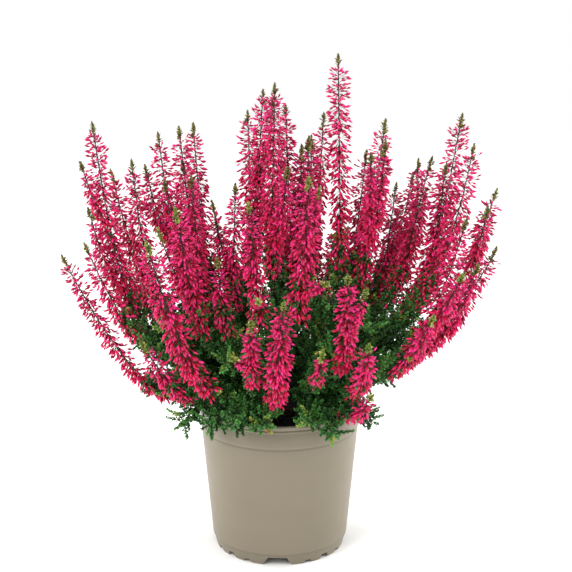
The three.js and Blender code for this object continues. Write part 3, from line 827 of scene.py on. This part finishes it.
def twig_paint():
    """Thin twigs: reddish brown, here and there olive."""
    paint = Paint("twig_bark", roughness=0.65, specular=0.25)
    brown = paint.ramp(paint.noise(1.3, 5), (0.3, (58, 34, 30)), (0.5, (96, 58, 46)),
                       (0.7, (128, 92, 66)))
    olive = paint.ramp(paint.noise(22), (0.42, 0), (0.6, 0.8))
    return paint.finish(paint.mix(olive, brown, (92, 96, 52)), paint.noise(0.7, 5), 0.2)


def bark_paint():
    """Woody stems: grey brown with fine cracks along them."""
    paint = Paint("stem_bark", roughness=0.85, specular=0.2)
    grain = paint.noise(1.4, 6, stretch=(1, 1, 0.3))
    colour = paint.ramp(grain, (0.3, (40, 28, 22)), (0.5, (88, 66, 50)), (0.72, (134, 110, 88)))
    return paint.finish(colour, grain, 0.5)


def peat_paint():
    """Damp peat: nearly black, with browner crumbs."""
    paint = Paint("peat", roughness=0.92, specular=0.25)
    colour = paint.ramp(paint.noise(2.4, 8), (0.3, (10, 9, 10)), (0.55, (24, 21, 21)),
                        (0.7, (46, 38, 34)), (0.85, (78, 62, 48)))
    return paint.finish(colour, paint.noise(0.8, 6), 0.5)


def fibre_paint():
    paint = Paint("peat_fibre", roughness=0.8, specular=0.2)
    colour = paint.ramp(paint.noise(3, 4), (0.35, (40, 28, 20)), (0.65, (96, 72, 48)))
    return paint.finish(colour, paint.noise(0.8, 4))


def pot_paint():
    """Moulded taupe plastic: satin, with faint flow marks, scuffs and a fine grain, and painted
    shade in its grooves and painted highlights on its edges.
    """
    paint = Paint("pot_plastic", specular=0.42)
    colour = paint.mix(paint.noise(38, stretch=(1, 1, 2.5)), (119, 110, 92), (125, 116, 98))
    height = paint.node("SeparateXYZ", {"Vector": paint.place}).outputs["Z"]
    share = paint.node("MapRange", {"Value": height, "From Max": POT_TOP * MM}).outputs["Result"]
    # painted shade in the grooves and under the steps, and painted highlights on the lip and edges,
    # by height
    shade = paint.ramp(share, *[(z / POT_TOP, grey) for z, grey in POT_PAINTED_SHADE_AND_HIGHLIGHTS])
    speck = paint.ramp(paint.noise(0.9, 2), (0.62, 0), (0.75, 0.12))
    colour = paint.mix(speck, paint.times(colour, shade), (108, 99, 83))
    scuff = paint.ramp(paint.noise(5, 8, stretch=(1, 1, 3)), (0.66, 0), (0.8, 0.1))
    colour = paint.mix(scuff, colour, (164, 155, 138))
    paint.put(paint.shader.inputs["Roughness"], paint.spread(paint.noise(9, 6), 0.36, 0.52))
    return paint.finish(colour, paint.noise(0.45), 0.03)


def floor_paint():
    paint = Paint("floor_card", roughness=0.9, specular=0.1)
    colour = paint.mix(paint.noise(160), (244, 244, 243), (249, 249, 248))
    return paint.finish(colour, paint.noise(1.5), 0.02)


# ------------------------ pot and peat

PEAT_SLOT, FIBRE_SLOT = range(2)


def softened(outline):
    """The outline with each corner rounded, by less than half of the shorter side next to it."""
    corners = np.array([point[:2] for point in outline], float)
    points = [corners[0]]
    for i in range(1, len(corners) - 1):
        sides = [corners[i - 1] - corners[i], corners[i + 1] - corners[i]]
        back = min(outline[i][2], *[0.48 * np.linalg.norm(side) for side in sides])
        start, end = [corners[i] + unit(side) * back for side in sides]
        for t in np.linspace(0, 1, CORNER_STEPS):
            points.append(start * (1 - t) ** 2 + corners[i] * 2 * t * (1 - t) + end * t ** 2)
    return np.array(points + [corners[-1]])


def turned(outline, sides):
    """Points and faces of a body turned about Z, from an outline with both ends on the axis."""
    rings = [around(X, Y, sides) * radius + UP * z for radius, z in outline[1:-1]]
    points = np.vstack([UP * outline[0][1], *rings, UP * outline[-1][1]])
    return points, spindle_faces(sides, len(rings))


PRISM_FACES = [(3, 2, 1, 0), (4, 5, 6, 7), (1, 5, 4, 0), (2, 6, 5, 1), (3, 7, 6, 2), (0, 4, 7, 3)]


def notch_prism(degrees, above, below, height):
    """What cuts one notch out of the skirt: its corners, from the inside out."""
    angle = math.radians(degrees)
    sideways, outward = swing(X, Y, angle), swing(-Y, X, angle)
    section = [(-below / 2, -GAP), (below / 2, -GAP), (above / 2, height), (-above / 2, height)]
    return [sideways * x + outward * radius + UP * z for radius in NOTCH_RADII for x, z in section]


def pot_cutters():
    """Prisms for the notches, and cylinders for the drain holes."""
    solids = [(notch_prism(degrees + 90 * quarter, *sizes), PRISM_FACES)
              for quarter in range(4) for degrees, *sizes in NOTCHES]
    low, high = DRAIN_HEIGHTS
    hole, hole_faces = turned([(0, low), (DRAIN_RADIUS, low), (DRAIN_RADIUS, high), (0, high)],
                              DRAIN_SIDES)
    for i in range(DRAIN_HOLES):
        centre = DRAIN_RING * swing(X, Y, (i + 0.5) * TURN / DRAIN_HOLES)
        solids.append((hole + centre, hole_faces))
    points, faces = [], []
    for solid_points, solid_faces in solids:
        faces += [[len(points) + corner for corner in face] for face in solid_faces]
        points += list(solid_points)
    return linked(mesh_of("pot_cutters", points, faces))


def cut(piece, cutter):
    change = piece.modifiers.new("cut", "BOOLEAN")
    change.operation = "DIFFERENCE"
    change.solver = "EXACT"
    change.object = cutter
    bpy.context.view_layer.update()
    evaluated = piece.evaluated_get(bpy.context.evaluated_depsgraph_get())
    mesh = bpy.data.meshes.new_from_object(evaluated)
    piece.modifiers.clear()
    piece.data = mesh
    bpy.data.objects.remove(cutter)


def make_pot():
    pot = linked(mesh_of("moulded_pot", *turned(softened(POT_OUTLINE), POT_SIDES)))
    cut(pot, pot_cutters())
    pot.data.shade_smooth()
    pot.data.set_sharp_from_angle(angle=math.radians(SHARP_EDGE))
    pot.data.materials.clear()
    pot.data.materials.append(pot_paint())
    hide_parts("pot")
    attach(pot, BODY)


def pot_inside(height):
    """The radius of the inside wall at a height."""
    (high_radius, high, _), (low_radius, low, _) = POT_OUTLINE[-3:-1]
    return np.interp(height, (low, high), (low_radius, high_radius))


def peat_height(x, y):
    """The peat's surface: swells, clods and crumbs."""
    return SOIL_TOP + sum(depth * noise.noise(Vector((x / size, y / size, seed)))
                          for size, depth, seed in PEAT_SWELLS)


# The corners of a solid with twenty faces, about 1 from its middle
PAIRS = [(a, b) for a in (-1, 1) for b in (-1.62, 1.62)]
CRUMB = np.array([(a, b, 0) for a, b in PAIRS] + [(0, a, b) for a, b in PAIRS]
                 + [(b, 0, a) for a, b in PAIRS]) / 1.9


def crumb_faces():
    """Its faces: corners that are one edge apart, turned outward."""
    gaps = lengths_of(CRUMB[:, None] - CRUMB)[..., 0]
    edge = np.min(gaps[gaps > 0]) * 1.05
    faces = []
    for a, b, c in combinations(range(len(CRUMB)), 3):
        if max(gaps[a, b], gaps[b, c], gaps[a, c]) < edge:
            outward = np.linalg.det(CRUMB[[a, b, c]]) > 0
            faces.append((a, b, c) if outward else (a, c, b))
    return np.array(faces)


def add_crumbs(heap, edge, rng):
    radius = (edge - 2.5) * np.sqrt(rng.random(CRUMBS))
    angle = TURN * rng.random(CRUMBS)
    size = CRUMB_SIZE[0] + CRUMB_SIZE[1] * rng.random(CRUMBS) ** 3
    centre = swing(X, Y, angle[:, None]) * radius[:, None]
    centre[:, 2] = [peat_height(x, y) for x, y, _ in centre] + size * 0.3
    corners = CRUMB * rng.uniform(0.75, 1.25, (CRUMBS, len(CRUMB), 1))
    corners = corners * rng.uniform(0.7, 1.3, (CRUMBS, 1, 3)) * size[:, None, None]
    heap.add_copies(corners + centre[:, None], crumb_faces(), PEAT_SLOT,
                    np.full(len(CRUMB), 0.5), rng.random(CRUMBS), rng.random(CRUMBS))


def add_fibre(heap, edge, rng):
    way = TURN * rng.random()
    start = np.append((edge - 12) * rng.uniform(-0.65, 0.65, 2), 0)
    stride = swing(X, Y, way) * rng.uniform(2, 5)
    knots = np.array([start + stride * i + np.append(rng.normal(0, 0.8, 2), 0)
                      for i in range(4)])
    knots[:, 2] = [peat_height(x, y) + 0.3 for x, y, _ in knots]
    course = Course(knots, step=2)
    radii = np.full(len(course.points), rng.uniform(*FIBRE_RADIUS))
    add_tube(heap, FIBRE_SLOT, course, radii, FIBRE_SIDES)


def make_peat():
    rng = np.random.default_rng(PEAT_SEED)
    heap = Heap()
    edge = pot_inside(SOIL_TOP) - GAP
    outline = [(0, SOIL_FLOOR), (pot_inside(SOIL_FLOOR) - GAP, SOIL_FLOOR), (edge, SOIL_TOP - 1)]
    outline += [(radius, SOIL_TOP) for radius in np.linspace(edge - 0.3, 1, PEAT_RINGS)]
    points, faces = turned(outline + [(0, SOIL_TOP)], PEAT_SIDES)
    for point in points:
        if point[2] == SOIL_TOP:
            point[2] = peat_height(point[0], point[1])
    heap.add(points, faces, PEAT_SLOT, np.full((len(points), 3), 0.5))
    add_crumbs(heap, edge, rng)
    for _ in range(FIBRES):
        add_fibre(heap, edge, rng)
    peat = heap.piece("peat", [peat_paint(), fibre_paint()], [False, True])
    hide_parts("soil")
    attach(peat, BODY)


# ------------------------ leafy stems

LEAF_SLOT, TWIG_SLOT, BARK_SLOT = range(3)


def grow_shoot(leaves, root, aim, length, fresh, rng):
    """A short side shoot with small leaves along it, added to the rows of each slot."""
    along = np.repeat(np.linspace(SHOOT_FOOT, 1, max(2, int(length / LEAF_GAP))), 2)
    aims, uppers, sizes, upper = leaf_pairs(aim, SHOOT_BEND, along, rng, **SHOOT_LEAVES)
    places = root + length * (aim * along[:, None] + SHOOT_BEND * along[:, None] ** 2)
    chance = np.clip(rng.normal(0.45, 0.2) + rng.normal(0, 0.1, len(along)), 0, 0.93)
    if rng.random() < OLD_SHOOTS:
        chance = rng.uniform(0.84, 1.0, len(along))
    leaves[LEAF_SLOT].append([places, aims, uppers, LEAF_LENGTH * sizes, LEAF_WIDTH * sizes,
                              chance, np.clip(fresh + 0.35 * along - 0.1, 0, 1)])
    twig = (root, unit(aim + SHOOT_BEND * 0.6), upper, length, TWIG_WIDTH, 0.5, 0.5)
    leaves[TWIG_SLOT].append([np.array([value]) for value in twig])


def grow_foliage(leaves, course, first, last, reach, rng, fullness=1):
    """Side shoots all along a stretch of a stem or branch. reach is (distances, lengths there)."""
    turn = rng.random() * TURN
    distance = first
    while distance < last:
        place, along, across, third = course.at(distance)
        for _ in range(2):
            turn += GOLDEN_TURN + rng.normal(0, 0.3)
            lean = math.radians(rng.uniform(*SHOOT_LEAN))
            aim = unit(swing(along, swing(across, third, turn), lean) + UP * 0.12)
            length = np.interp(distance, *reach) * fullness * rng.uniform(0.6, 1.15)
            # leaves further in along a stem or branch are less fresh, and their material paints
            # them darker: partly older leaves, partly painted shade
            fresh = 0.25 + 0.6 * distance / course.distance[-1]
            grow_shoot(leaves, place, aim, max(SHOOT_SHORTEST, length), fresh, rng)
        distance += SHOOT_GAP * rng.uniform(0.7, 1.3)


def tapered(course, radii):
    """The radius at each step of a course, from what it is at the two ends."""
    return np.interp(course.distance, [0, course.distance[-1]], radii)


def make_leafy_stem(number, stem, branches, materials):
    rng = np.random.default_rng(STEM_SEED + number)
    heap = Heap()
    leaves = {LEAF_SLOT: [], TWIG_SLOT: []}
    course = Course(stem)
    knobs = 1 + STEM_KNOBS * np.sin(course.distance * 1.1 + number)
    add_tube(heap, BARK_SLOT, course, tapered(course, STEM_TAPER) * knobs, STEM_SIDES)
    leafy_from = course.knots[STEM_LEAFY_FROM] - LEAFY_BELOW
    grow_foliage(leaves, course, leafy_from, course.distance[-1], ([0], [STEM_REACH]), rng,
                 STEM_FULLNESS)
    for strand in branches:
        line = Course(strand.points)
        end = line.distance[-1]
        add_tube(heap, TWIG_SLOT, line, tapered(line, BRANCH_RADIUS), TWIG_SIDES)
        reach = (line.knots, strand.reach)
        grow_foliage(leaves, line, BRANCH_FOOT, end, reach, rng, BRANCH_FULLNESS)
        if strand.flower:
            spike = Course(strand.flower.points)
            grow_foliage(leaves, spike, 0, LEAFY_FOOT, ([0], [BRANCH_REACH]), rng)
        else:
            place, along, _, _ = line.at(end)
            grow_shoot(leaves, place, along, END_SHOOT, 0.9, rng)
    for slot, rows in leaves.items():
        add_leaves(heap, slot, *joined(rows))
    name = f"leafy_stem_{number + 1:02d}"
    piece = heap.piece(name + "_foliage", materials, [False, False, True])
    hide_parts(name)
    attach(piece, BODY)


# ------------------------ flowering sprays

BUD_SLOT, AXIS_SLOT, TIP_SLOT, BRACT_SLOT = range(4)


def ring_about(course, distance, turn, tilt, rng):
    """Places around a spike and the directions that grow from them, by turn and tilt in radians."""
    distance = np.clip(distance + rng.normal(0, 0.9, len(turn)), 0, course.distance[-1])
    place, along, across, third = course.at(distance)
    outward = swing(across, third, turn[:, None])
    return place, along, swing(along, outward, tilt[:, None])


def grow_buds(heap, strand, course, rng):
    """Whorls of hanging buds from the foot of a spike to its neck, with small bracts at each."""
    neck = course.knots[-2] + 2
    first = BARE_SIDE_FOOT if strand.parent else BARE_FOOT
    whorl_turn = rng.random()
    buds, bracts = [], []
    distance = first
    while distance < neck:
        share = (distance - first) / (neck - first)
        reach = np.interp(distance, course.knots, strand.reach) * rng.uniform(0.9, 1.08)
        reach *= np.interp(distance - neck, *NECK_TAPER)
        count = nearest_whole(np.interp(reach, *WHORL_BUDS))
        whorl_turn += 0.5 + rng.normal(0, 0.06)
        turn = TURN * (whorl_turn + np.arange(count)) / count + rng.normal(0, 0.28, count)
        tilt = np.radians(np.interp(share, *BUD_TILT) + rng.normal(0, BUD_STRAY, count))
        place, along, aims = ring_about(course, distance, turn, tilt, rng)
        aims = unit(aims - UP * np.interp(share, *BUD_DROOP) * rng.uniform(0.4, 1.5, (count, 1)))
        size = np.interp(share, *BUD_SIZE) * rng.uniform(0.78, 1.14, count)
        sideways = np.sqrt(1 - np.minimum(0.45, (aims * along).sum(1) ** 2))
        inner = rng.random(count) < INNER_BUDS
        whole = reach * BUD_OVERREACH / sideways * rng.uniform(0.8, 1.05, count)
        whole *= np.where(inner, INNER_REACH, 1)
        lengths = np.minimum(BUD_LENGTH * size, reach * LONGEST_BUD)
        stalks = np.maximum(SHORTEST_STALK, whole - lengths)
        fresh = np.full(count, share)
        buds.append([place, aims, stalks, lengths, BUD_WIDTH * size, rng.random(count), fresh])

        turn = TURN * (whorl_turn + 0.5 + np.arange(BRACTS)) / BRACTS
        tilt = np.radians(rng.normal(BRACT_TILT, 10, BRACTS))
        place, along, aims = ring_about(course, distance, turn, tilt, rng)
        size = rng.uniform(0.8, 1.2, BRACTS)
        bracts.append([place, aims, upper_sides(aims, along), BRACT_LENGTH * size,
                       BRACT_WIDTH * size, rng.random(BRACTS), fresh[:BRACTS]])
        distance += np.interp(share, *WHORL_GAP) * rng.uniform(0.85, 1.15)
    add_buds(heap, BUD_SLOT, *joined(buds))
    add_leaves(heap, BRACT_SLOT, *joined(bracts))


def grow_tuft(heap, root, axis, length, lime, rng):
    """A knob of scale leaves, widest a third of the way up and closed at its top."""
    along = np.repeat(np.linspace(0, 1, max(4, int(length / TUFT_GAP))), 2)
    aims, uppers, sizes, _ = leaf_pairs(axis, 0, along, rng, **TUFT_LEAVES)
    leaf_length, leaf_width = TUFT_LEAF
    places = root + axis * (along * max(0.5, length - leaf_length * 0.7))[:, None]
    add_leaves(heap, TIP_SLOT, places, aims, uppers, leaf_length * sizes, leaf_width * sizes,
               rng.random(len(along)), np.clip(lime + 0.15 * along, 0, 1))


def grow_tip(heap, course, lime, rng):
    """The shoot above the buds: a bare neck and a tuft, at times with smaller tufts beside it."""
    neck, end = course.knots[-2], course.distance[-1]
    length = TUFT_SHARE * (end - neck)
    root, axis, across, third = course.at(end - length)
    grow_tuft(heap, root, axis, length, lime, rng)
    for _ in range(rng.integers(0, SIDE_TUFTS + 1)):
        aside = swing(across, third, rng.uniform(0, TURN))
        foot = root - axis * rng.uniform(0, 2.5)
        grow_tuft(heap, foot, unit(axis + aside * 0.75), rng.uniform(*SIDE_TUFT), lime, rng)


def make_spray(number, spikes, materials):
    rng = np.random.default_rng(SPRAY_SEED + number)
    heap = Heap()
    for strand in spikes:
        course = Course(strand.points)
        add_tube(heap, AXIS_SLOT, course, tapered(course, AXIS_RADIUS), TWIG_SIDES)
        grow_buds(heap, strand, course, rng)
        lime = YOUNG_LIME if strand.points[-1][1] < NEAR_SIDE else OLD_LIME
        grow_tip(heap, course, rng.uniform(*lime), rng)
    name = f"flower_spray_{number + 1:02d}"
    piece = heap.piece(name + "_buds", materials, [True, True, False, False])
    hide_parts(name)
    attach(piece, BODY)


# ------------------------ stage

def make_stage():
    corners = [(-1, -1, 0), (1, -1, 0), (1, 1, 0), (-1, 1, 0)]
    floor = linked(mesh_of("floor", FLOOR_HALF * np.array(corners), [(0, 1, 2, 3)]))
    floor.data.materials.append(floor_paint())
    for number, (place, target, side, power) in enumerate(SOFT_BOXES):
        light = bpy.data.lights.new(f"soft_box_{number}", "AREA")
        light.shape = "SQUARE"
        light.size = side * MM
        light.energy = power
        box = linked(light)
        box.location = Vector(place) * MM
        box.rotation_euler = (Vector(target) - Vector(place)).to_track_quat("-Z", "Y").to_euler()
    world = bpy.data.worlds.new("studio")
    world.use_nodes = True
    background = world.node_tree.nodes["Background"]
    background.inputs["Color"].default_value = (1, 1, 1, 1)
    background.inputs["Strength"].default_value = SKY
    bpy.context.scene.world = world
    bpy.context.scene.view_settings.view_transform = "Standard"


def make_camera():
    data = bpy.data.cameras.new("camera")
    data.sensor_width = SENSOR
    data.lens = FOCAL / IMAGE_SIDE * SENSOR
    data.clip_end = 50
    camera = linked(data)
    camera.location = Vector(CAMERA_AT) * MM
    camera.rotation_euler = (math.radians(90 - CAMERA_PITCH), 0, 0)
    bpy.context.scene.camera = camera


# ------------------------ the potted plant

make_camera()
make_stage()
make_pot()
make_peat()

stems = [stem_course(number) for number in range(STEMS)]
strands = lay_out(stems)
bend_clear(strands, stems)

foliage = [leaf_paint(), twig_paint(), bark_paint()]
for number, stem in enumerate(stems):
    make_leafy_stem(number, stem, [s for s in strands if s.stem == number], foliage)

blossom = [bud_paint(), axis_paint(), tip_paint(), bract_paint()]
for number in range(len(SPRAYS)):
    make_spray(number, [s for s in strands if s.stem < 0 and s.spray == number], blossom)
